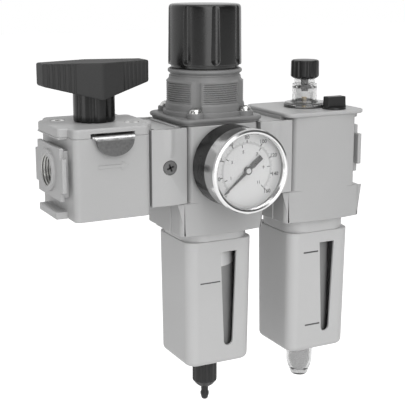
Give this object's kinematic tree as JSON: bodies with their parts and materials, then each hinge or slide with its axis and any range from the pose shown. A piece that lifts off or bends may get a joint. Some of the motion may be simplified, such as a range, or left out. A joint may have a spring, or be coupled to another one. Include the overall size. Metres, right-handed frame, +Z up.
{
  "type": "filter regulator lubricator with lock-out valve",
  "caption": "Modular compressed-air preparation unit: lock-out valve with T-handle, filter/regulator with dial gauge and knob, and drip lubricator, joined by clamp plates.",
  "frame": {"origin": "centre of the inlet port at its mouth", "axes": "+X along the air flow from inlet to outlet, front with the gauge towards -Y, +Z up"},
  "size_m": [0.2308, 0.098, 0.2825],
  "materials": {
    "casting_paint": "light grey powder coat on zinc castings, satin",
    "bonnet_grey": "moulded mid-grey plastic",
    "black_gloss": "glossy black moulding",
    "black_matte": "fine-grained black moulding",
    "gauge_black": "black lacquered steel",
    "bright_steel": "bright zinc-plated steel",
    "dark_screw": "black oxide",
    "chrome": "polished chrome plate",
    "brass": "machined brass",
    "rubber": "black nitrile",
    "seat_plastic": "white plastic",
    "filter_media": "sintered plastic",
    "clear_bowl": "clear polycarbonate",
    "gauge_glass": "clear lens",
    "dial_white": "white lacquer with printed scale",
    "pointer_black": "black lacquer"
  },
  "bodies": {
    "unit": {"valve_body": "casting_paint", "valve_cover": "casting_paint", "cover_screws": "bright_steel", "valve_bushing": "brass", "spindle_seal": "rubber", "ball_seats": "seat_plastic", "coupling_block_1": "casting_paint", "coupling_front_plate_1": "casting_paint", "coupling_rear_plate_1": "casting_paint", "coupling_screws_1": "dark_screw", "port_seals_1": "rubber", "coupling_block_2": "casting_paint", "coupling_front_plate_2": "casting_paint", "coupling_rear_plate_2": "casting_paint", "coupling_screws_2": "dark_screw", "port_seals_2": "rubber", "regulator_body": "casting_paint", "bonnet": "bonnet_grey", "bonnet_screws": "bright_steel", "main_spring": "bright_steel", "diaphragm": "rubber", "poppet_spring": "bright_steel", "poppet_guide": "black_matte", "deflector": "black_matte", "filter_element": "filter_media", "baffle": "black_matte", "gauge_port_plug": "bright_steel", "gauge_stem": "brass", "gauge_back_cover": "gauge_black", "gauge_case": "chrome", "gauge_bezel": "chrome", "gauge_lens": "gauge_glass", "gauge_dial": "dial_white", "bourdon_tube": "brass", "lubricator_body": "casting_paint", "sight_dome": "clear_bowl", "dome_seal": "rubber", "drip_tube": "brass", "siphon_tube": "seat_plastic"},
    "handle": {"valve_handle": "black_matte", "valve_spindle": "bright_steel", "valve_ball": "bright_steel"},
    "lock_slide": {"lock_slide": "bright_steel"},
    "adjusting_screw": {"adjusting_screw": "bright_steel"},
    "adjusting_knob": {"adjusting_knob": "black_gloss"},
    "spring_nut": {"spring_nut": "bright_steel"},
    "diaphragm_plate": {"diaphragm_plate": "bright_steel"},
    "poppet": {"poppet": "brass"},
    "pointer": {"gauge_pointer": "pointer_black"},
    "filter_bowl_unit": {"filter_bowl": "clear_bowl", "filter_bowl_guard": "casting_paint", "filter_bowl_seal": "rubber"},
    "drain": {"drain_valve": "black_matte"},
    "drip_knob": {"drip_knob": "black_gloss"},
    "fill_plug": {"fill_plug": "black_matte", "fill_plug_seal": "rubber"},
    "oil_bowl_unit": {"oil_bowl": "clear_bowl", "oil_bowl_guard": "casting_paint", "oil_bowl_seal": "rubber"}
  },
  "joints": [
    {"name": "handle_turn", "type": "hinge", "parent": "unit", "child": "handle", "pos_m": [0.034, 0, 0], "axis": [0, 0, 1], "range_deg": [0, 90]},
    {"name": "lock_slide_pull", "type": "slide", "parent": "unit", "child": "lock_slide", "axis": [0, -1, 0], "range_m": [0, 0.012]},
    {"name": "adjusting_screw_turn", "type": "hinge", "parent": "unit", "child": "adjusting_screw", "pos_m": [0.1144, 0, 0], "axis": [0, 0, -1], "range_deg": [0, 1440]},
    {"name": "knob_pull", "type": "slide", "parent": "adjusting_screw", "child": "adjusting_knob", "axis": [0, 0, 1], "range_m": [0, 0.003]},
    {"name": "spring_nut_travel", "type": "slide", "parent": "unit", "child": "spring_nut", "axis": [0, 0, -1], "range_m": [0, 0.006], "deforming": ["main_spring"]},
    {"name": "diaphragm_travel", "type": "slide", "parent": "unit", "child": "diaphragm_plate", "axis": [0, 0, -1], "range_m": [0, 0.002], "stiffness_N_per_m": 3000, "deforming": ["diaphragm"]},
    {"name": "poppet_travel", "type": "slide", "parent": "unit", "child": "poppet", "axis": [0, 0, -1], "range_m": [0, 0.002], "stiffness_N_per_m": 600, "deforming": ["poppet_spring"]},
    {"name": "pointer_turn", "type": "hinge", "parent": "unit", "child": "pointer", "pos_m": [0.1144, -0.058, 0], "axis": [0, 1, 0], "range_deg": [0, 270], "stiffness_Nm_per_rad": 0.0005},
    {"name": "filter_bowl_drop", "type": "slide", "parent": "unit", "child": "filter_bowl_unit", "axis": [0, 0, -1], "range_m": [0, 0.11]},
    {"name": "drain_turn", "type": "hinge", "parent": "filter_bowl_unit", "child": "drain", "pos_m": [0.1144, 0, -0.15], "axis": [0, 0, 1], "range_deg": [0, 180]},
    {"name": "drip_knob_turn", "type": "hinge", "parent": "unit", "child": "drip_knob", "pos_m": [0.1948, 0, 0.055], "axis": [0, 0, 1], "range_deg": [0, 540]},
    {"name": "fill_plug_lift", "type": "slide", "parent": "unit", "child": "fill_plug", "axis": [0, 0, 1], "range_m": [0, 0.02]},
    {"name": "oil_bowl_drop", "type": "slide", "parent": "unit", "child": "oil_bowl_unit", "axis": [0, 0, -1], "range_m": [0, 0.11]}
  ],
  "couplings": [
    {"joint": "adjusting_screw_turn", "follows": "spring_nut_travel", "rad_per_m": 4188.8},
    {"joint": "poppet_travel", "follows": "diaphragm_travel", "ratio": 1}
  ]
}
